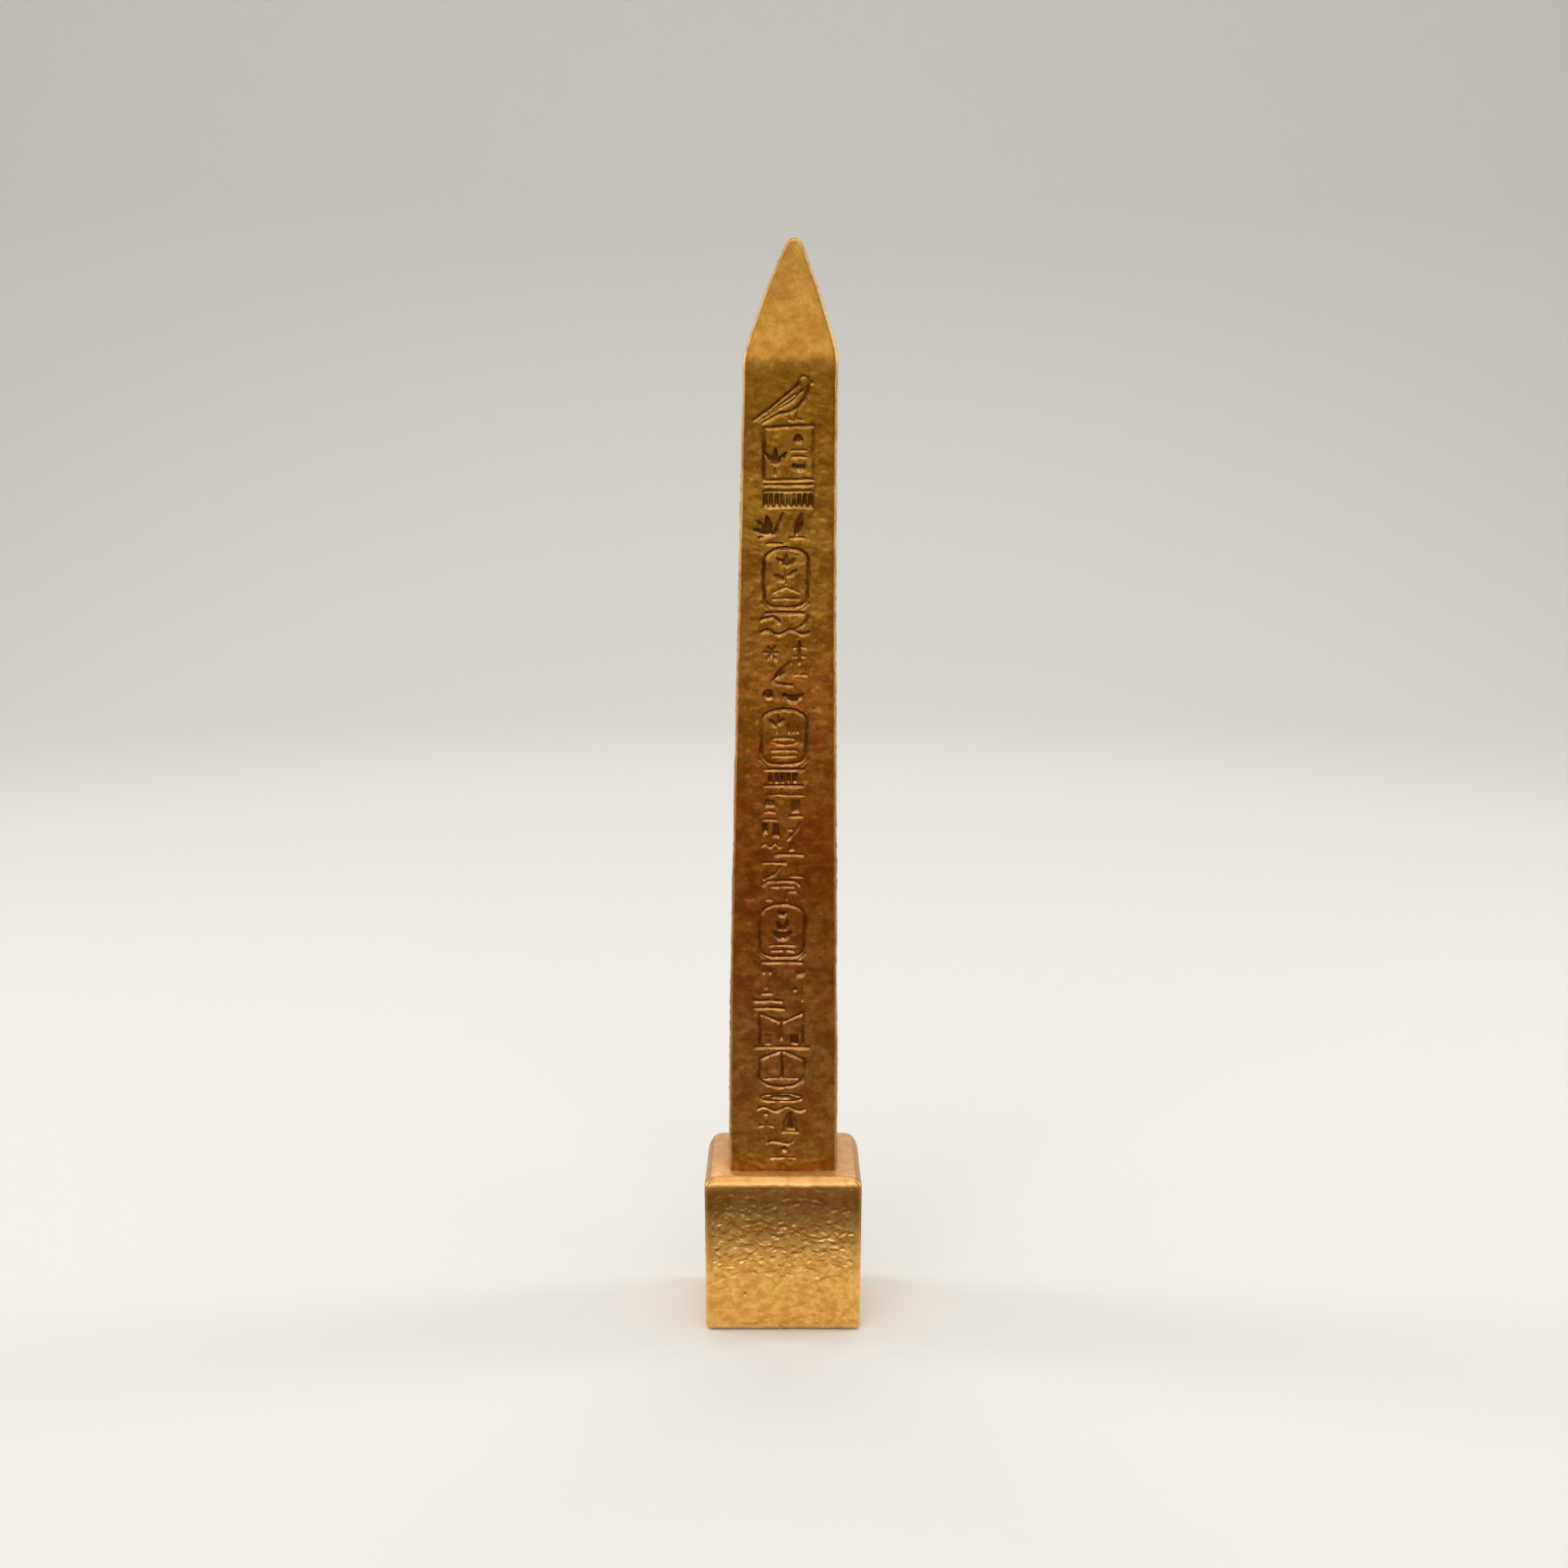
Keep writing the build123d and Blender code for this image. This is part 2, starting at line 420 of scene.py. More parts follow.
# Chest with a notched lid
line("broad", (-5.0, 66.9), (-5.0, 74.2), (-0.6, 72.4), (0, 72.9), (0.6, 72.4), (5.0, 74.4), (5.0, 66.9))
line("broad", (0, 72.6), (0, 68.4))
slot(-4.0, 67.0, -2.4, 69.2)
slot(2.2, 67.0, 3.8, 69.0)
bar("broad", -6.2, 6.2, 66.3)
# Round loaf, cut through
line("broad", (-5.1, 63.4), (-5.1, 59.4), *bend(0, 59.4, 10.2, 5.0, 185, 355), (5.1, 59.4),
     (5.1, 63.4), (0.6, 65.3), (-0.6, 65.3), (-5.1, 63.4))
line("broad", (0, 65.0), (0, 59.0))
bar("fine", -3.9, 3.9, 58.9)
# Eye-shaped boss and water
lens(0, 54.3, 9.6, 1.9)
disc(0.2, 54.4, 4.6, 0.7)
ripple("broad", -5.4, 5.4, 51.6, 0.9, 2)
# Looped peg and drop, then the last lines
line("fine", *bend(-3.6, 49.3, 1.9, 2.4, 270, -90))
line("broad", (-3.6, 47.9), (-3.6, 45.0))
bar("broad", -5.2, -2.0, 47.5)
line("broad", (2.0, 50.4), (0.7, 48.2), (0.6, 46.6))
line("broad", (2.0, 50.4), (3.2, 48.2), (3.4, 46.6))
hollows.append([(1.0, 46.8), (3.0, 46.8), (2.0, 49.8)])
bar("broad", 0.3, 3.8, 46.2)
line("fine", (-3.4, 43.4), (-2.4, 43.9), (1.4, 43.2), (2.6, 43.6), (3.4, 45.0))
disc(0.6, 41.9, 1.0)
bar("fine", -2.4, 3.4, 39.9)


def flat_drawing(title, lines, filled):
    """Mesh that holds the lines as edges, or the closed outlines as faces."""
    spots, joins = [], []
    for points in lines:
        first = len(spots)
        spots += [(x, z, 0) for x, z in points]
        numbers = range(first, len(spots))
        joins += [tuple(numbers)] if filled else list(zip(numbers[:-1], numbers[1:]))
    mesh = bpy.data.meshes.new(title)
    mesh.from_pydata(spots, [] if filled else joins, joins if filled else [])
    return bpy.data.objects.new(title, mesh)


drawings = {
    "Broad Cuts": flat_drawing("broad_cuts", cuts["broad"], False),
    "Fine Cuts": flat_drawing("fine_cuts", cuts["fine"], False),
    "Hollows": flat_drawing("hollows", hollows, True),
}


def put(tree, kind, inputs=(), **settings):
    """Adds a node to a tree. Inputs are pairs of a socket and its value, or the output it takes."""
    made = tree.nodes.new(kind)
    for title, value in settings.items():
        setattr(made, title, value)
    for socket, value in dict(inputs).items():
        if isinstance(value, bpy.types.NodeSocket):
            tree.links.new(value, made.inputs[socket])
        else:
            made.inputs[socket].default_value = value
    return made


def sums(tree, operation, *values):
    return put(tree, "ShaderNodeMath", enumerate(values), operation=operation).outputs[0]


def new_tree(title, kind, takes, gives):
    """An empty tree or group with its named sockets, and its two end nodes."""
    tree = bpy.data.node_groups.new(title, kind)
    for name, socket, value in takes:
        made = tree.interface.new_socket(name, in_out="INPUT", socket_type=socket)
        if value is not None:
            made.default_value = value
    for name, socket in gives:
        tree.interface.new_socket(name, in_out="OUTPUT", socket_type=socket)
    return tree, put(tree, "NodeGroupInput").outputs, put(tree, "NodeGroupOutput").inputs


# Carving: how far a point lies from the nearest cut, on the flat drawing, gives the cut's depth.
carve, given, result = new_tree("carve_sides", "GeometryNodeTree", [
    ("Casting", "NodeSocketGeometry", None),
    ("Broad Cuts", "NodeSocketObject", None),
    ("Fine Cuts", "NodeSocketObject", None),
    ("Hollows", "NodeSocketObject", None),
    ("Broad Width", "NodeSocketFloat", 0.98),
    ("Fine Width", "NodeSocketFloat", 0.74),
    ("Wall", "NodeSocketFloat", 0.26),
    ("Depth", "NodeSocketFloat", 0.46),
    ("Column Shift", "NodeSocketVector", (0.4, 0, 0)),
    ("Hand Wobble", "NodeSocketFloat", 0.52),
    ("Hand Shake", "NodeSocketFloat", 0.28),
    ("Swell", "NodeSocketFloat", 0.64),
    ("Skin", "NodeSocketFloat", 0.92),
    ("Finish", "NodeSocketMaterial", None),
], [("Casting", "NodeSocketGeometry")])


def noted(tree, name, kind="FLOAT"):
    return put(tree, "GeometryNodeInputNamedAttribute", {"Name": name}, data_type=kind).outputs["Attribute"]


def noise(tree, where, scale, detail=2.0, roughness=0.5):
    inputs = {"Vector": where, "Scale": scale, "Detail": detail, "Roughness": roughness}
    return put(tree, "ShaderNodeTexNoise", inputs).outputs


def vectors(tree, operation, first, second):
    socket = "Scale" if operation == "SCALE" else 1
    return put(tree, "ShaderNodeVectorMath", {0: first, socket: second}, operation=operation).outputs[0]


def span(tree, value, low, high, start, stop, smooth=True):
    """Value remapped from one span to another, held at its ends."""
    kind = "SMOOTHSTEP" if smooth else "LINEAR"
    made = put(tree, "ShaderNodeMapRange", [("Value", value), (1, low), (2, high), (3, start), (4, stop)],
               interpolation_type=kind)
    return made.outputs[0]


def whereabouts(tree, position):
    """A position turned into millimetres, and its height alone."""
    spot = vectors(tree, "SCALE", position, 1 / metre)
    return spot, put(tree, "ShaderNodeSeparateXYZ", {0: spot}).outputs[2]


def wander(tree, where, scale, amount):
    """A drift in all directions, for what a hand or a mould doesn't keep straight."""
    drift = vectors(tree, "SUBTRACT", noise(tree, where, scale, 1)["Color"], (0.5, 0.5, 0.5))
    return vectors(tree, "SCALE", drift, amount)


def press_in(tree, given, result, inward, notes):
    """Ends a tree: presses the cast skin in by so many millimetres and notes values on its points."""
    inward = sums(tree, "MULTIPLY", sums(tree, "MULTIPLY", inward, noted(tree, "cast")), -metre)
    shift = vectors(tree, "SCALE", noted(tree, "outward", "FLOAT_VECTOR"), inward)
    moved = put(tree, "GeometryNodeSetPosition", {"Geometry": given["Casting"], "Offset": shift}).outputs[0]
    for title, value, kind in notes:
        note = {"Geometry": moved, "Name": title, "Value": value}
        stored = put(tree, "GeometryNodeStoreNamedAttribute", note, data_type=kind, domain="POINT")
        moved = stored.outputs[0]
    moved = put(tree, "GeometryNodeRealizeInstances", {"Geometry": moved}).outputs[0]
    moved = put(tree, "GeometryNodeSetMaterial", {"Geometry": moved, "Material": given["Finish"]}).outputs[0]
    tree.links.new(moved, result["Casting"])


# A point's place on the drawing drifts in long waves and short ones, as the hand-cut pattern did.
spot, height = whereabouts(carve, put(carve, "GeometryNodeInputPosition").outputs[0])
unsteady = vectors(carve, "ADD", wander(carve, spot, 0.22, given["Hand Wobble"]),
                   wander(carve, spot, 0.95, given["Hand Shake"]))
drawn_at = vectors(carve, "ADD", noted(carve, "place", "FLOAT_VECTOR"), given["Column Shift"])
drawn_at = vectors(carve, "ADD", drawn_at, unsteady)

# The gouges leave flat floors, so a cut is full to the edge of its floor and then its wall climbs.
wall_run = 1.3
depths, lips = [], []
for drawing, target, width, full in (("Broad Cuts", "EDGES", "Broad Width", 1.0),
                                     ("Fine Cuts", "EDGES", "Fine Width", 0.78),
                                     ("Hollows", "FACES", None, 1.3)):
    shape = put(carve, "GeometryNodeObjectInfo", {"Object": given[drawing]}).outputs["Geometry"]
    near = put(carve, "GeometryNodeProximity", {"Geometry": shape, "Sample Position": drawn_at},
               target_element=target).outputs["Distance"]
    floor = 0.0
    if width:
        half_width = sums(carve, "MULTIPLY", given[width], 0.5)
        floor = sums(carve, "MULTIPLY_ADD", given["Wall"], -wall_run, half_width)
    beyond = sums(carve, "DIVIDE", sums(carve, "SUBTRACT", near, floor), given["Wall"])
    depths.append(span(carve, beyond, 0.0, wall_run, full, 0.0))
    lips.append(span(carve, beyond, 0.8, 2.4, 1.0, 0.0))
cut = sums(carve, "MAXIMUM", sums(carve, "MAXIMUM", depths[0], depths[1]), depths[2])
lip = sums(carve, "MAXIMUM", sums(carve, "MAXIMUM", lips[0], lips[1]), lips[2])

# The cuts are worn in patches, and shallower on the lower half and again at the foot.
fade = span(carve, noise(carve, spot, 0.15, 2)["Fac"], 0.32, 0.58, 0.66, 1.0)
fade = sums(carve, "MULTIPLY", fade, span(carve, height, 40.0, 56.0, 0.80, 1.0))
fade = sums(carve, "MULTIPLY", fade, span(carve, height, 132.0, 152.0, 0.84, 1.0))
cut = sums(carve, "MULTIPLY", cut, fade)

# The cast skin swells slowly over a whole side. Its fine grain is calmer beside cuts and arrises,
# and towards the point.
swell = sums(carve, "SUBTRACT", noise(carve, spot, 0.07, 2)["Fac"], 0.5)
drawn_out = vectors(carve, "MULTIPLY", spot, (0.75, 0.75, 1.0))
grain = sums(carve, "SUBTRACT", noise(carve, drawn_out, 0.62, 4, 0.55)["Fac"], 0.5)
calm = sums(carve, "MULTIPLY_ADD", noted(carve, "brink"), -0.9, 1.0)
calm = sums(carve, "MULTIPLY", calm, sums(carve, "MULTIPLY_ADD", lip, -0.75, 1.0))
calm = sums(carve, "MULTIPLY", calm, span(carve, height, 190, 220, 1.0, 0.4))
grain = sums(carve, "MULTIPLY", grain, calm)
inward = sums(carve, "MULTIPLY_ADD", cut, given["Depth"], noted(carve, "dent"))
for relief, amount in ((swell, given["Swell"]), (grain, given["Skin"])):
    inward = sums(carve, "ADD", inward, sums(carve, "MULTIPLY", relief, amount))
facing = put(carve, "GeometryNodeInputNormal").outputs[0]
press_in(carve, given, result, inward,
         [("cut", cut, "FLOAT"), ("lip", lip, "FLOAT"), ("facing", facing, "FLOAT_VECTOR")])


def finish_mesh(title, mesh, tree, values, triangles):
    """Runs a tree on a rough mesh, thins the result to so many triangles and makes it a piece."""
    rough = bpy.data.objects.new(title + "_rough", mesh)
    bpy.context.scene.collection.objects.link(rough)
    run = rough.modifiers.new("run", "NODES")
    run.node_group = tree
    sockets = {item.name: item.identifier for item in tree.interface.items_tree if item.in_out == "INPUT"}
    for name, value in values.items():
        run[sockets[name]] = value
    thin = rough.modifiers.new("thin", "DECIMATE")
    thin.ratio = min(1, triangles / (2 * len(mesh.polygons)))
    thin.use_collapse_triangulate = True
    view = bpy.context.evaluated_depsgraph_get()
    shaped = rough.evaluated_get(view)
    made = bpy.data.meshes.new_from_object(shaped, preserve_all_data_layers=True, depsgraph=view)
    bpy.data.objects.remove(rough)
    made.name = title
    made.shade_smooth()
    made.set_sharp_from_angle(angle=math.radians(60))
    piece = bpy.data.objects.new(title, made)
    bpy.context.scene.collection.objects.link(piece)
    return piece


def paint(red, green, blue):
    """Colour from its usual 0 to 255 values, as the light that a shader works in."""
    return *(((v / 255 + 0.055) / 1.055) ** 2.4 if v > 10 else v / 255 / 12.92 for v in (red, green, blue)), 1


def mix(tree, factor, first, second, kind="MIX"):
    made = put(tree, "ShaderNodeMix", {0: factor, 6: first, 7: second}, data_type="RGBA", blend_type=kind)
    return made.outputs[2]


# Shader group: the colour of old cast brass, cloudy, with redder stains and a fine speckle.
clouds, given, result = new_tree("brass_clouds", "ShaderNodeTree", [
    ("Vector", "NodeSocketVector", None),
    ("Tone", "NodeSocketColor", None),
    ("Dark Tone", "NodeSocketColor", None),
    ("Stain", "NodeSocketColor", None),
    ("Cloud Scale", "NodeSocketFloat", 0.30),
    ("Stain Amount", "NodeSocketFloat", 0.6),
    ("Contrast", "NodeSocketFloat", 1.0),
    ("Speckle", "NodeSocketFloat", 0.3),
], [("Color", "NodeSocketColor"), ("Grain", "NodeSocketFloat")])
drawn_out = vectors(clouds, "MULTIPLY", given["Vector"], (0.8, 0.8, 1.0))
cloud = noise(clouds, drawn_out, given["Cloud Scale"], 6, 0.66)["Fac"]
cloud = sums(clouds, "MULTIPLY", span(clouds, cloud, 0.38, 0.62, -0.5, 0.5), given["Contrast"])
tone = mix(clouds, sums(clouds, "ADD", cloud, 0.5), given["Dark Tone"], given["Tone"])

# The stains take another part of the noise than the clouds do, so that they don't follow them.
moved = vectors(clouds, "ADD", given["Vector"], (31, 7, 12))
stain = span(clouds, noise(clouds, moved, 0.15, 5, 0.62)["Fac"], 0.48, 0.66, 0, 1)
stain = sums(clouds, "MULTIPLY", stain, sums(clouds, "MULTIPLY", given["Stain Amount"], given["Contrast"]))
tone = mix(clouds, stain, tone, given["Stain"])
fine = noise(clouds, given["Vector"], 1.7, 4, 0.7)["Fac"]
speck = span(clouds, fine, 0.35, 0.65, -1, 1, False)
speck = sums(clouds, "MULTIPLY_ADD", speck, given["Speckle"], 1.0)
clouds.links.new(vectors(clouds, "SCALE", tone, speck), result["Color"])
clouds.links.new(fine, result["Grain"])

# Shader group: wax left in the cuts, metal rubbed bright along the edges, which also paints their
# highlight, a painted highlight on every slope near a cut or fold that faces up, and painted shade on every
# one that faces down.
wax_wear_and_light_tree, given, result = new_tree("wax_wear_and_painted_light", "ShaderNodeTree", [
    ("Vector", "NodeSocketVector", None),
    ("Color", "NodeSocketColor", None),
    ("Cut", "NodeSocketFloat", 0.0),
    ("Lip", "NodeSocketFloat", 0.0),
    ("Worn", "NodeSocketFloat", 0.0),
    ("Facing Up", "NodeSocketFloat", 0.0),
    ("Wax And Shade", "NodeSocketColor", None),
    ("Bright", "NodeSocketColor", None),
    ("Wax Amount", "NodeSocketFloat", 0.5),
    ("Lip Highlight Amount", "NodeSocketFloat", 0.8),
    ("Rub Amount", "NodeSocketFloat", 0.5),
], [("Color", "NodeSocketColor"), ("Rub And Highlight", "NodeSocketFloat")])
patchy = span(wax_wear_and_light_tree, noise(wax_wear_and_light_tree, given["Vector"], 0.35, 4, 0.6)["Fac"], 0.32, 0.58, 0.45, 1.0)
# The edges are rubbed bright, and the same brightening stands in for their painted highlight.
edges = sums(wax_wear_and_light_tree, "MULTIPLY", span(wax_wear_and_light_tree, given["Worn"], 0.45, 1.0, 0, 1), given["Rub Amount"])
near_cut = sums(wax_wear_and_light_tree, "MAXIMUM", given["Cut"], given["Lip"])
# Painted highlight: near a cut or fold, a slope that faces up is painted bright.
painted_highlight = sums(wax_wear_and_light_tree, "MULTIPLY", span(wax_wear_and_light_tree, given["Facing Up"], 0.07, 0.42, 0, 1), near_cut)
wear_and_painted_light = sums(wax_wear_and_light_tree, "MAXIMUM", edges, sums(wax_wear_and_light_tree, "MULTIPLY", painted_highlight, given["Lip Highlight Amount"]))
wear_and_painted_light = sums(wax_wear_and_light_tree, "MULTIPLY", wear_and_painted_light, patchy)
# Painted shade: near a cut or fold, a slope that faces down is painted dark, and the cuts themselves hold
# dark wax.
wax_and_painted_shade = sums(wax_wear_and_light_tree, "MULTIPLY", span(wax_wear_and_light_tree, given["Facing Up"], -0.04, -0.42, 0, 1), near_cut)
wax_and_painted_shade = sums(wax_wear_and_light_tree, "MAXIMUM", wax_and_painted_shade, span(wax_wear_and_light_tree, given["Cut"], 0.35, 1.05, 0, 1))
wax_and_painted_shade = sums(wax_wear_and_light_tree, "MULTIPLY", wax_and_painted_shade, given["Wax Amount"])
tone = mix(wax_wear_and_light_tree, wax_and_painted_shade, given["Color"], given["Wax And Shade"])
tone = mix(wax_wear_and_light_tree, wear_and_painted_light, tone, given["Bright"])
wax_wear_and_light_tree.links.new(tone, result["Color"])
wax_wear_and_light_tree.links.new(wear_and_painted_light, result["Rub And Highlight"])


calm_run = 26.0


def brass_material(title, zones, calm_above, cloud_values, wax_wear_and_light_values, roughness, haze=0.0):
    """Old brass, with a ramp of colours up the piece that paints in part of its light and shade: zones are
    (height, colour), lowest first.

    Clouds sink to half their strength over calm_run, up to the height calm_above. Haze is how dull
    faces that look up have gone."""
    made = bpy.data.materials.new(title)
    made.use_nodes = True
    tree = made.node_tree
    metal = tree.nodes["Principled BSDF"]
    where = put(tree, "ShaderNodeTexCoord").outputs
    spot, height = whereabouts(tree, where["Object"])
    contrast = span(tree, height, calm_above - calm_run, calm_above, 1.0, 0.5)
    cloud_inputs = {**cloud_values, "Vector": spot, "Contrast": contrast}
    cloud = put(tree, "ShaderNodeGroup", cloud_inputs, node_tree=clouds)
    drift = noise(tree, spot, 0.08, 2)["Fac"]
    height = sums(tree, "ADD", height, span(tree, drift, 0.3, 0.7, -0.6, 0.6, False))
    # The ramp's colours stand in for part of the light and shade, by height alone.
    low, high = zones[0][0], zones[-1][0]
    ramp = put(tree, "ShaderNodeValToRGB", {0: span(tree, height, low, high, 0, 1, False)})
    stops = ramp.color_ramp.elements
    while len(stops) < len(zones):
        stops.new(0.5)
    for stop, (z, colour) in zip(stops, zones):
        stop.position = (z - low) / (high - low)
        stop.color = colour
    tinted_and_shaded = mix(tree, 1.0, cloud.outputs["Color"], ramp.outputs["Color"], "MULTIPLY")
    up = put(tree, "ShaderNodeSeparateXYZ", {0: where["Normal"]}).outputs[2]
    dulled = mix(tree, 1.0, wax_wear_and_light_values["Bright"], ramp.outputs["Color"], "MULTIPLY")
    bright = mix(tree, 0.6, wax_wear_and_light_values["Bright"], dulled)
    wear_and_light_inputs = {**wax_wear_and_light_values, "Vector": spot, "Color": tinted_and_shaded, "Facing Up": up, "Bright": bright}
    for socket, note in (("Cut", "cut"), ("Lip", "lip"), ("Worn", "wear_and_highlight")):
        wear_and_light_inputs[socket] = put(tree, "ShaderNodeAttribute", attribute_name=note).outputs["Fac"]
    wear_and_painted_light = put(tree, "ShaderNodeGroup", wear_and_light_inputs, node_tree=wax_wear_and_light_tree)
    tree.links.new(wear_and_painted_light.outputs["Color"], metal.inputs["Base Color"])
    rough = span(tree, cloud.outputs["Grain"], 0.3, 0.7, roughness - 0.05, roughness + 0.06, False)
    rough = sums(tree, "MULTIPLY_ADD", wear_and_painted_light.outputs["Rub And Highlight"], -0.08, rough)
    tree.links.new(rough, metal.inputs["Roughness"])
    metal.inputs["Metallic"].default_value = 1.0
    if haze:
        hazed = sums(tree, "SUBTRACT", 1.0, span(tree, up, 0.8, 0.98, 0, haze))
        tree.links.new(hazed, metal.inputs["Metallic"])
    pits = noise(tree, spot, 3.2, 3, 0.6)["Fac"]
    level = sums(tree, "MULTIPLY_ADD", cloud.outputs["Grain"], 1.6, pits)
    bump = put(tree, "ShaderNodeBump", {"Height": level, "Strength": 0.3, "Distance": 0.00005})
    tree.links.new(bump.outputs[0], metal.inputs["Normal"])
    return made


# The ramp paints the pyramid point much paler, a painted light where it faces up. Below the point the shaft
# is lightest at its foot and darkest about a third of the way up.
shaft_brass = brass_material(
    "shaft_brass", roughness=0.46, calm_above=222,
    zones=[(37, paint(255, 238, 178)), (42, paint(212, 195, 180)), (65, paint(198, 177, 172)),
           (105, paint(185, 148, 116)), (150, paint(215, 189, 159)), (185, paint(216, 211, 171)),
           (214, paint(203, 195, 133)), (219.4, paint(196, 190, 124)), (222.9, paint(247, 248, 232)),
           (250, paint(249, 255, 255))],
    cloud_values={"Tone": paint(176, 129, 60), "Dark Tone": paint(138, 95, 36), "Stain": paint(150, 82, 38),
                  "Stain Amount": 0.55, "Speckle": 0.19},
    wax_wear_and_light_values={"Wax And Shade": paint(64, 30, 13), "Bright": paint(250, 197, 124), "Wax Amount": 0.84,
                "Lip Highlight Amount": 0.55, "Rub Amount": 0.70})

shaft_values = {**drawings, "Finish": shaft_brass}
shaft = finish_mesh("shaft_casting", shaft_mesh, carve, shaft_values, triangles=196000)

# Thinning leaves small facets on the walls of the cuts, so the cast skin keeps the normals that it
# had before it was thinned. A normal of zero lets Blender work out its own, on what was machined.
thinned = shaft.data
facing = np.empty(3 * len(thinned.vertices))
thinned.attributes["facing"].data.foreach_get("vector", facing)
facing = facing.reshape(-1, 3)
facing /= np.linalg.norm(facing, axis=1, keepdims=True) + 1e-9
skin = np.empty(len(thinned.vertices))
thinned.attributes["cast"].data.foreach_get("value", skin)
facing[skin < 0.9] = 0
corners = np.empty(len(thinned.loops), int)
thinned.loops.foreach_get("vertex_index", corners)
thinned.normals_split_custom_set(facing[corners])
thinned.attributes.remove(thinned.attributes["facing"])
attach(shaft, "root")
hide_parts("shaft")


# ---------------------------------------------------------------------------------------------
# The plinth: a second brass casting, a cube with soft top edges. Its sides kept the wrinkled skin
# of the mould, worst near the top, and it is bored and recessed from below for the screw.

plinth_width = 36.5
plinth_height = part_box("base_block")[1][2] / metre
plinth_draft = 0.3
plinth_corner = 1.2
bevel_rise = 2.0
bevel_run = 1.5
bevel_bow = math.radians(22)
top_corner = 2.0
foot_round = 1.2
fold_step = 0.19
rear_from = 20.0
rear_pull = 0.04
bore_radius = 3.3
recess_radius = 7.0
recess_depth = 9.0


def plinth_reach(z):
    """Half width of the plinth at height z, which narrows a little towards its foot."""
    return plinth_width / 2 - plinth_draft * (1 - z / plinth_height)


# Every row of the plinth, down its bore, out under its foot, up its sides and in over its top.
rows = [ring(z, bore_radius, bore_radius, skin=0) for z in np.linspace(plinth_height - 0.4, recess_depth, 6)]
rows += [ring(recess_depth, r, r, skin=0) for r in np.linspace(bore_radius, recess_radius, 4)[1:]]
rows += [ring(z, recess_radius, recess_radius, skin=0) for z in (6, 3, 0)]
foot_reach = plinth_reach(0) - foot_round
for k in np.linspace(0, 1, 14)[1:]:
    reach = recess_radius + (foot_reach - recess_radius) * k
    rows.append(ring(0, reach, recess_radius + (plinth_corner - recess_radius) * k ** 2, skin=0))
for k in np.radians(np.arange(15, 90, 15)):
    z = foot_round * (1 - math.cos(k))
    rows.append(ring(z, plinth_reach(z) - foot_round * (1 - math.sin(k)), plinth_corner, rim=1))
bevel_from = plinth_height - bevel_rise
for z in np.arange(foot_round, bevel_from, fold_step):
    rim = max(0, 1 - (z - foot_round) / 0.8, 1 - (bevel_from - z) / 0.5)
    rows.append(ring(z, plinth_reach(z), plinth_corner, rim=rim))
bevel_width = math.hypot(bevel_rise, bevel_run)
bevel_radius = bevel_width / 2 / math.sin(bevel_bow)
for k in np.linspace(-bevel_bow, bevel_bow, 18):
    along = 0.5 + math.sin(k) / math.sin(bevel_bow) / 2
    bulge = bevel_radius * (math.cos(k) - math.cos(bevel_bow)) / bevel_width
    z = bevel_from + bevel_rise * along + bevel_run * bulge
    reach = plinth_reach(bevel_from) - bevel_run * along + bevel_rise * bulge
    rows.append(ring(z, reach, plinth_corner + along * (top_corner - plinth_corner), rim=1))
top_reach = plinth_reach(bevel_from) - bevel_run
for k in np.concatenate([np.linspace(0, 0.42, 32), np.linspace(0.42, 1, 8)[1:]]):
    reach = top_reach + (bore_radius - top_reach) * k
    rim = max(0, 1 - (top_reach - reach) / 0.8)
    corner = top_corner + (bore_radius - top_corner) * k
    rows.append(ring(plinth_height, reach, corner, skin=0.4, rim=rim))
along_side = np.linspace(-1, 1, 165)
plinth_mesh = skin_of_rings("plinth_casting", rows, along_side, corner_steps=6, edge_wear_and_highlight=0.8, closed=True)

# The two back corners were filed rounder than the front ones.
spots = np.empty(3 * len(plinth_mesh.vertices))
plinth_mesh.vertices.foreach_get("co", spots)
spots = spots.reshape(-1, 3) / metre
pull = rear_pull * np.maximum((np.abs(spots[:, 0]) + spots[:, 1]) * math.sqrt(0.5) - rear_from, 0) ** 2
spots[:, 0] -= pull * math.sqrt(0.5) * np.sign(spots[:, 0])
spots[:, 1] -= pull * math.sqrt(0.5)
plinth_mesh.vertices.foreach_set("co", spots.ravel() * metre)
mark(plinth_mesh, [
    ((11.2, -17.8, 35.1), (11.9, -17.4, 35.6), 0.32, 0.25, 0.0),
    ((-8.9, -18.0, 8.8), (-8.8, -18.0, 9.0), 0.5, 0.35, 0.0),
    ((-0.6, -17.9, 0.5), (-0.5, -17.9, 0.7), 0.6, 0.45, 0.0),
    ((-14.0, -18.0, 14.6), (-13.8, -18.0, 14.7), 0.6, 0.2, 0.0),
    ((4.6, -18.1, 33.6), (4.8, -18.1, 33.7), 0.5, 0.0, 1.0),
    ((-3.1, -18.1, 7.1), (-2.9, -18.1, 7.1), 0.4, 0.2, 0.0),
    ((14.0, -18.0, 3.4), (14.6, -18.0, 3.2), 0.5, 0.12, 0.0),
    # Painted highlight: a strip of the top just in front of the shaft's foot is painted bright.
    ((-11.5, -13.2, 36.8), (11.5, -13.2, 36.8), 1.0, 0.0, 0.8),
])

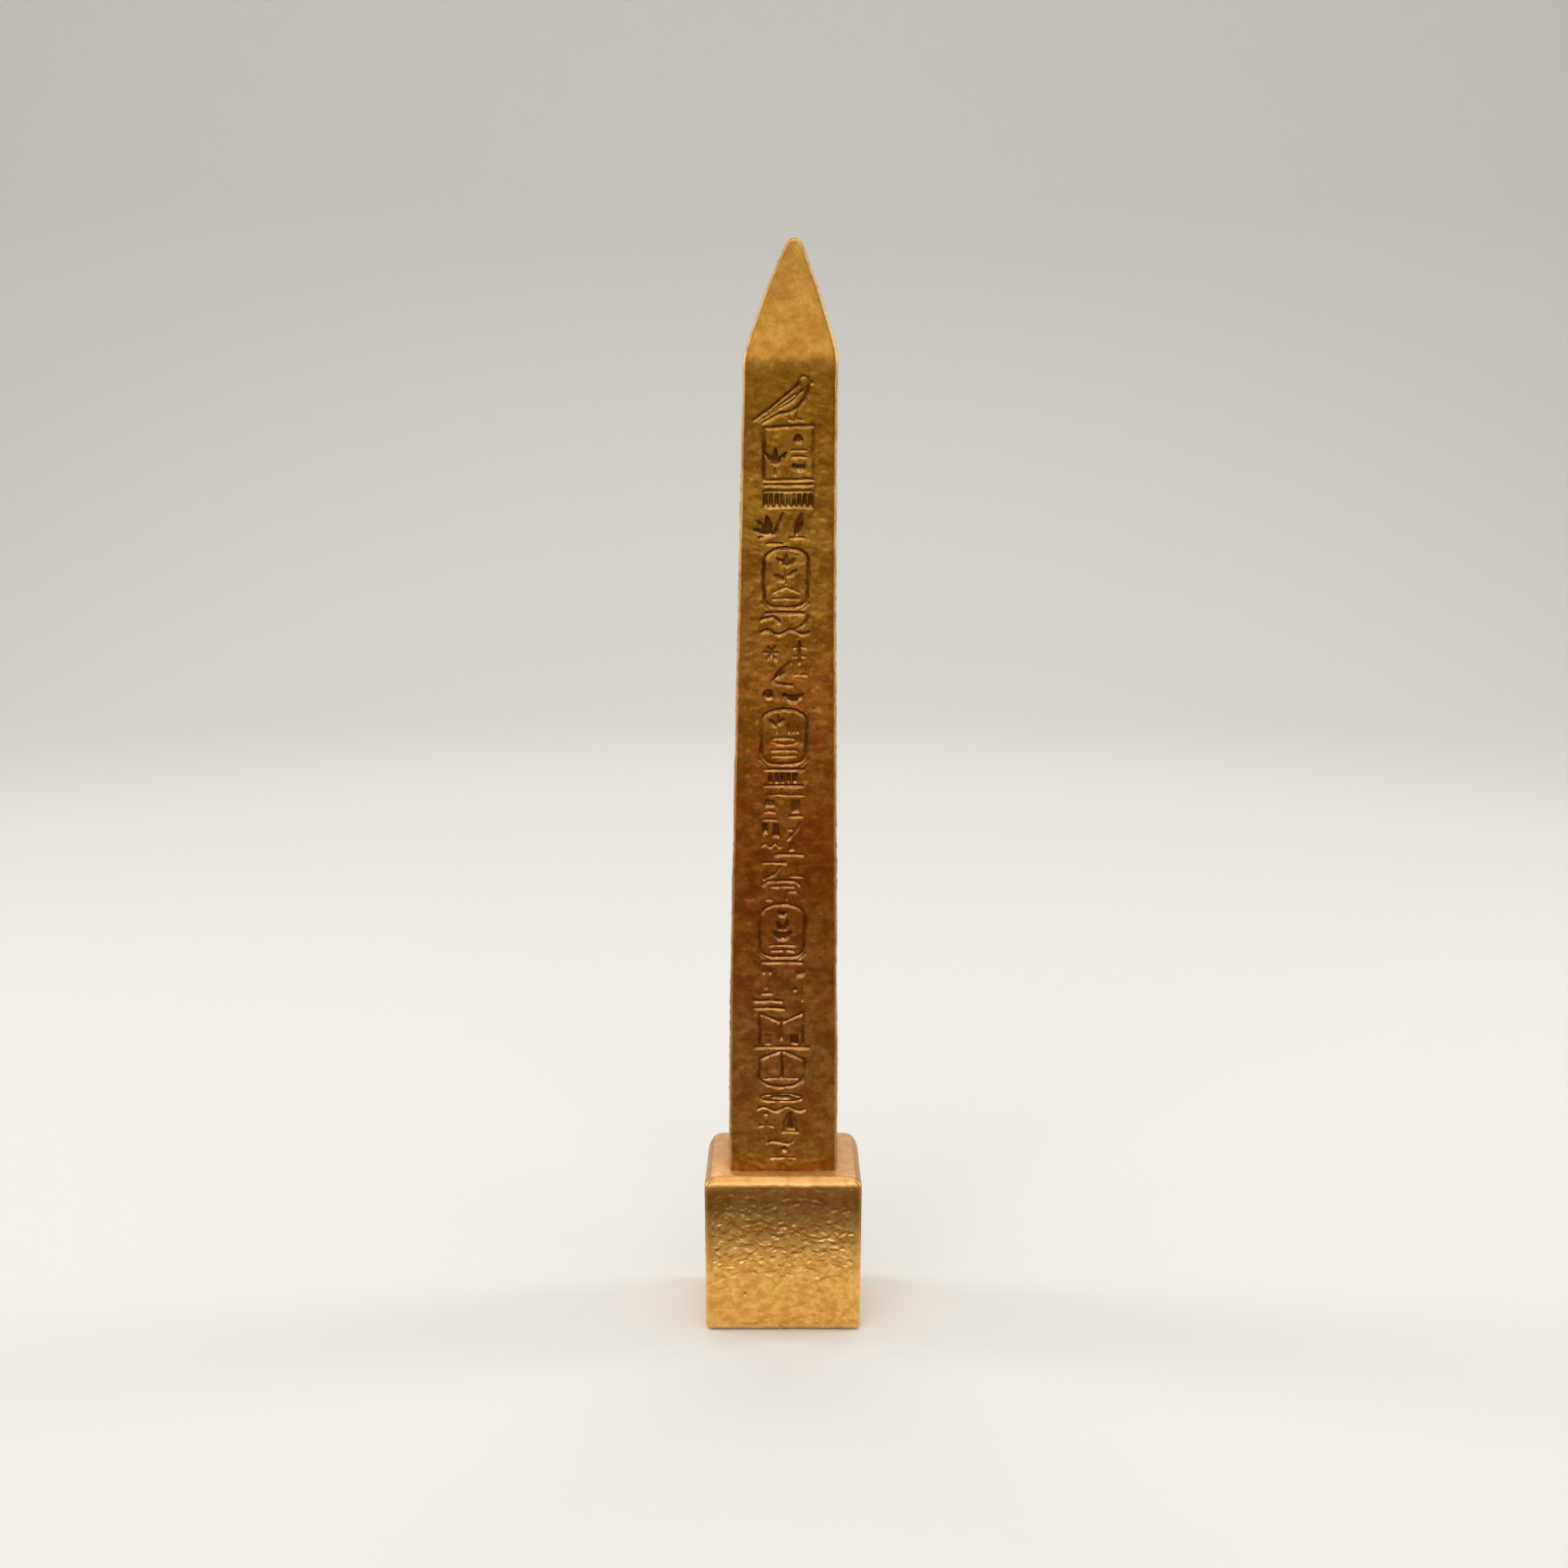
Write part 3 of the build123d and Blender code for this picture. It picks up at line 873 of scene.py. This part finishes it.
# Wrinkled mould skin: long low folds that lap over one another, fading towards the foot.
wrinkle, given, result = new_tree("wrinkle_sides", "GeometryNodeTree", [
    ("Casting", "NodeSocketGeometry", None),
    ("Fold Depth", "NodeSocketFloat", 0.52),
    ("Fold Wander", "NodeSocketFloat", 4.0),
    ("Swell", "NodeSocketFloat", 0.10),
    ("Full From", "NodeSocketFloat", 21.0),
    ("Weak Below", "NodeSocketFloat", 5.0),
    ("Finish", "NodeSocketMaterial", None),
], [("Casting", "NodeSocketGeometry")])
spot, height = whereabouts(wrinkle, put(wrinkle, "GeometryNodeInputPosition").outputs[0])
bent = vectors(wrinkle, "ADD", spot, wander(wrinkle, spot, 0.20, given["Fold Wander"]))
long_way = vectors(wrinkle, "MULTIPLY", bent, (0.62, 0.62, 1.0))
laps = noise(wrinkle, long_way, 0.95, 1.5, 0.50)["Fac"]
small = noise(wrinkle, vectors(wrinkle, "MULTIPLY", bent, (0.75, 0.75, 1.0)), 1.9, 2, 0.5)["Fac"]
valley = sums(wrinkle, "SUBTRACT", noise(wrinkle, long_way, 0.42, 1)["Fac"], 0.5)
crest = span(wrinkle, sums(wrinkle, "ABSOLUTE", valley), 0.0, 0.11, 1.0, 0.0)
folds = sums(wrinkle, "MULTIPLY_ADD", small, 0.22, laps)
folds = sums(wrinkle, "MULTIPLY_ADD", crest, -0.10, folds)
folds = span(wrinkle, folds, 0.26, 0.86, 0, 1, False)

# They are strongest on the upper half of a side, and weaker by its corners, top edge and foot.
strength = span(wrinkle, height, given["Weak Below"], given["Full From"], 0.42, 1.0)
for place, low, high, left in ((noted(wrinkle, "brink"), 0.6, 1.0, 0.15), (height, 28.0, 33.5, 0.7),
                               (height, 34.2, 35.0, 0.20)):
    strength = sums(wrinkle, "MULTIPLY", strength, span(wrinkle, place, low, high, 1.0, left))
depth = sums(wrinkle, "MULTIPLY", sums(wrinkle, "MULTIPLY", folds, strength), given["Fold Depth"])
swell = span(wrinkle, noise(wrinkle, spot, 0.06, 2)["Fac"], 0.3, 0.7, 0, 1, False)
depth = sums(wrinkle, "ADD", depth, sums(wrinkle, "MULTIPLY", swell, given["Swell"]))
depth = sums(wrinkle, "ADD", depth, noted(wrinkle, "dent"))
filled = span(wrinkle, noted(wrinkle, "dent"), 0.05, 0.3, 0, 1.1)
# Painted light on the folds: in this band their slopes that face up get a painted highlight and those that
# face down painted shade, less of both near the top.
fold_light_and_shade = sums(wrinkle, "MULTIPLY", strength, span(wrinkle, height, 24.0, 31.0, 1.0, 0.45))
press_in(wrinkle, given, result, depth, [("cut", filled, "FLOAT"), ("lip", fold_light_and_shade, "FLOAT")])

# The ramp paints light and shade on the plinth: its sides are painted darker towards the top and lighter
# towards the foot, and its bevel and top are painted paler.
plinth_brass = brass_material(
    "plinth_brass", roughness=0.44, calm_above=200, haze=0.5,
    zones=[(0, paint(243, 240, 242)), (12, paint(247, 246, 246)), (16, paint(233, 232, 232)),
           (20, paint(206, 204, 204)), (24, paint(166, 161, 158)), (28, paint(143, 134, 136)),
           (31, paint(123, 109, 108)), (34, paint(139, 124, 121)), (34.6, paint(154, 139, 136)),
           (35.3, paint(190, 171, 164)), (36.6, paint(199, 180, 174))],
    cloud_values={"Tone": paint(255, 202, 110), "Dark Tone": paint(230, 169, 76),
                  "Stain": paint(236, 158, 90), "Cloud Scale": 0.5, "Stain Amount": 0.4, "Speckle": 0.10},
    wax_wear_and_light_values={"Wax And Shade": paint(96, 56, 20), "Bright": paint(255, 210, 136), "Wax Amount": 0.70,
                "Lip Highlight Amount": 0.42, "Rub Amount": 0.60})

plinth = finish_mesh("plinth_casting", plinth_mesh, wrinkle, {"Finish": plinth_brass}, triangles=190000)
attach(plinth, "root")
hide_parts("base_block")


# ---------------------------------------------------------------------------------------------
# The fixing screw: a zinc-plated socket head screw, rolled from bar, that comes up through the
# plinth into the shaft. Its head is knurled and only the upper part of its shank is threaded.

head_low, screw_tip = (corner[2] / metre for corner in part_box("fixing_screw"))
head_height = 6.0
head_top = head_low + head_height
screw_radius = 2.98
head_radius = 4.98
head_chamfer = 0.5
head_face = 4.45
neck_radius = 3.25
key_across = 5.0
key_depth = 3.2
thread_pitch = 1.0
thread_depth = 0.58
thread_length = 24.0
screw_steps = 60
knurls = 30
knurl_depth = 0.14
mouth_bevel = 0.15


def turned(title, rows, steps, closed=False):
    """Mesh turned about the vertical: each row is a height and a radius, or a radius per step."""
    turns = np.arange(steps) * 2 * math.pi / steps
    spots = []
    for z, radius in rows:
        reach = radius + 0 * turns
        spots.append(np.stack([reach * np.cos(turns), reach * np.sin(turns), z + 0 * turns], -1))
    points = np.concatenate(spots)
    grid = np.arange(len(points)).reshape(len(rows), steps)
    if closed:
        grid = np.vstack([grid, grid[:1]])
    beside = np.roll(grid, -1, axis=1)
    faces = np.stack([grid[:-1], beside[:-1], beside[1:], grid[1:]], -1).reshape(-1, 4).tolist()
    if not closed:
        points = np.vstack([points, [[0, 0, rows[0][0]], [0, 0, rows[-1][0]]]])
        faces += [(len(points) - 2, b, a) for a, b in zip(grid[0], beside[0])]
        faces += [(len(points) - 1, a, b) for a, b in zip(grid[-1], beside[-1])]
    mesh = bpy.data.meshes.new(title)
    mesh.from_pydata(points * metre, [], faces)
    mesh.shade_smooth()
    mesh.set_sharp_from_angle(angle=math.radians(35))
    return mesh


turns = np.arange(screw_steps) * 2 * math.pi / screw_steps
hexagon = key_across / 2 / np.cos((turns + math.pi / 6) % (math.pi / 3) - math.pi / 6)
knurl = knurl_depth * np.abs(np.sin(turns * knurls / 2))
rows = [(head_low + key_depth + 0.8, 0.3), (head_low + key_depth, hexagon * 0.88)]
rows += [(z, hexagon) for z in np.linspace(head_low + key_depth - 0.05, head_low + 0.35, 4)]
rows += [(head_low + mouth_bevel, hexagon), (head_low, hexagon + mouth_bevel), (head_low, head_face)]
rows += [(head_low + 0.12, 4.72), (head_low + head_chamfer, head_radius - 0.02)]
rows += [(z, head_radius - knurl) for z in np.linspace(head_low + head_chamfer + 0.1, head_top - 0.7, 5)]
rows += [(head_top - 0.55, head_radius - 0.02), (head_top - 0.1, head_radius), (head_top, head_radius - 0.1)]
rows += [(head_top, neck_radius), (head_top + 0.25, screw_radius)]
thread_from = screw_tip - thread_length
rows += [(z, screw_radius) for z in np.linspace(head_top + 1, thread_from - 0.1, 6)]
for z in np.arange(thread_from, screw_tip - 0.02, 0.1):
    turn = (z / thread_pitch - turns / (2 * math.pi)) % 1
    groove = np.clip(1.25 - 2.5 * np.abs(turn - 0.5), 0, 1)
    runout = min(1, (z - thread_from) / 1.5)
    taper = max(0, z - (screw_tip - 0.8))
    rows.append((z, np.minimum(screw_radius - thread_depth * runout * groove, screw_radius - taper)))
rows.append((screw_tip, screw_radius - 0.82))
screw = bpy.data.objects.new("socket_screw", turned("socket_screw", rows, screw_steps))
bpy.context.scene.collection.objects.link(screw)


def plated_steel(title, tone, shadow, roughness):
    """Zinc plate over steel, a little dull and darker in its fine pits."""
    made = bpy.data.materials.new(title)
    made.use_nodes = True
    tree = made.node_tree
    metal = tree.nodes["Principled BSDF"]
    spot, _ = whereabouts(tree, put(tree, "ShaderNodeTexCoord").outputs["Object"])
    bloom = noise(tree, spot, 0.9, 5, 0.65)["Fac"]
    scratch = noise(tree, vectors(tree, "MULTIPLY", spot, (5.0, 1.2, 3.0)), 1.0, 4, 0.7)["Fac"]
    colour = mix(tree, span(tree, bloom, 0.38, 0.64, 0, 1), shadow, tone)
    tree.links.new(colour, metal.inputs["Base Color"])
    rough = span(tree, bloom, 0.3, 0.7, roughness + 0.10, roughness - 0.06, False)
    tree.links.new(rough, metal.inputs["Roughness"])
    metal.inputs["Metallic"].default_value = 1.0
    bump = put(tree, "ShaderNodeBump", {"Height": scratch, "Strength": 0.25, "Distance": 0.00003})
    tree.links.new(bump.outputs[0], metal.inputs["Normal"])
    return made


screw_steel = plated_steel("screw_steel", paint(208, 209, 207), paint(178, 179, 177), 0.32)
screw.data.materials.append(screw_steel)
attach(screw, "root")
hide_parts("fixing_screw")


# ---------------------------------------------------------------------------------------------
# The washer: stamped from steel strip and plated, so its lower rim is rolled over and its upper
# rim is sharp. It spreads the pull of the screw's head under the plinth's recess.

washer_low, washer_top = (corner[2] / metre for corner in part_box("screw_washer"))
washer_radius = 5.98
washer_bore = 3.12
roll_over = 0.3
rows = [(washer_top, washer_bore), (washer_low + 0.15, washer_bore), (washer_low, washer_bore + 0.15)]
rows += [(washer_low, r) for r in np.linspace(washer_bore + 0.6, washer_radius - roll_over - 0.2, 4)]
for k in np.radians(np.arange(0, 91, 15)):
    rows.append((washer_low + roll_over * (1 - math.cos(k)), washer_radius - roll_over * (1 - math.sin(k))))
rows += [(washer_top - 0.04, washer_radius), (washer_top, washer_radius - 0.04), (washer_top, 4.5)]
washer = bpy.data.objects.new("plain_washer", turned("plain_washer", rows, 96, closed=True))
bpy.context.scene.collection.objects.link(washer)
washer_steel = plated_steel("washer_steel", paint(198, 197, 192), paint(166, 165, 160), 0.40)
washer.data.materials.append(washer_steel)
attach(washer, "root")
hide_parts("screw_washer")


# ---------------------------------------------------------------------------------------------
# The studio: a pale sweep of paper that is the floor and the backdrop, soft banks of light
# overhead, in front and behind, and a faint lamp on each side. Lengths here are in metres.

floor_width = 7.0
floor_front = -3.0
wall_at = 1.9
wall_curve = 0.7
wall_top = 3.0
profile = [(floor_front, 0.0)] + [(y, 0.0) for y in np.linspace(floor_front, wall_at - wall_curve, 12)[1:]]
for k in np.radians(np.arange(6, 91, 6)):
    profile.append((wall_at - wall_curve + wall_curve * math.sin(k), wall_curve * (1 - math.cos(k))))
profile.append((wall_at, wall_top))
spots = [(x, y, z) for y, z in profile for x in (-floor_width / 2, floor_width / 2)]
panels = [(k, k + 1, k + 3, k + 2) for k in range(0, len(spots) - 2, 2)]
sweep_mesh = bpy.data.meshes.new("paper_sweep")
sweep_mesh.from_pydata(spots, [], panels)
sweep_mesh.shade_smooth()
sweep = bpy.data.objects.new("paper_sweep", sweep_mesh)
bpy.context.scene.collection.objects.link(sweep)
paper = bpy.data.materials.new("pale_paper")
paper.use_nodes = True
sheet = paper.node_tree.nodes["Principled BSDF"]
sheet.inputs["Base Color"].default_value = paint(215, 213, 207)
sheet.inputs["Roughness"].default_value = 0.85
sheet.inputs["Specular IOR Level"].default_value = 0.15
sweep_mesh.materials.append(paper)

world = bpy.data.worlds.new("dim_room")
world.use_nodes = True
world.node_tree.nodes["Background"].inputs["Color"].default_value = (0.40, 0.40, 0.40, 1)
bpy.context.scene.world = world


def lamp(title, place, aim, size, power, spread=180):
    """A soft rectangular lamp that shines from a place towards a point, over so many degrees."""
    light = bpy.data.lights.new(title, "AREA")
    light.shape = "RECTANGLE"
    light.size, light.size_y = size
    light.energy = power
    light.spread = math.radians(spread)
    made = bpy.data.objects.new(title, light)
    made.location = place
    made.rotation_euler = (Vector(aim) - Vector(place)).to_track_quat("-Z", "Y").to_euler()
    made.visible_camera = False
    bpy.context.scene.collection.objects.link(made)


lamp("overhead_bank", (0, -0.3, 2.5), (0, 0.1, 0), (2.6, 2.2), 27)
lamp("front_bank", (-0.2, -1.7, 1.15), (0, 0, 0.1), (1.8, 0.9), 17)
lamp("rear_bank", (0, 1.3, 1.15), (0, 0, 0.04), (1.6, 0.5), 7)
lamp("left_lamp", (-1.3, 0.3, 0.55), (0, 0, 0.15), (0.5, 1.1), 2.7, 100)
lamp("right_lamp", (1.3, 0.3, 0.55), (0, 0, 0.15), (0.5, 1.1), 2.6, 100)

# The camera stands half a metre off and looks slightly down.
looks_down = 8.16
camera = bpy.data.cameras.new("camera")
camera.sensor_width = 36
camera.lens = 49.04
viewer = bpy.data.objects.new("camera", camera)
viewer.location = (0.0002, -0.492, 0.1965)
viewer.rotation_euler = (math.radians(90 - looks_down), 0, 0)
bpy.context.scene.collection.objects.link(viewer)
bpy.context.scene.camera = viewer
bpy.context.scene.view_settings.view_transform = "Standard"
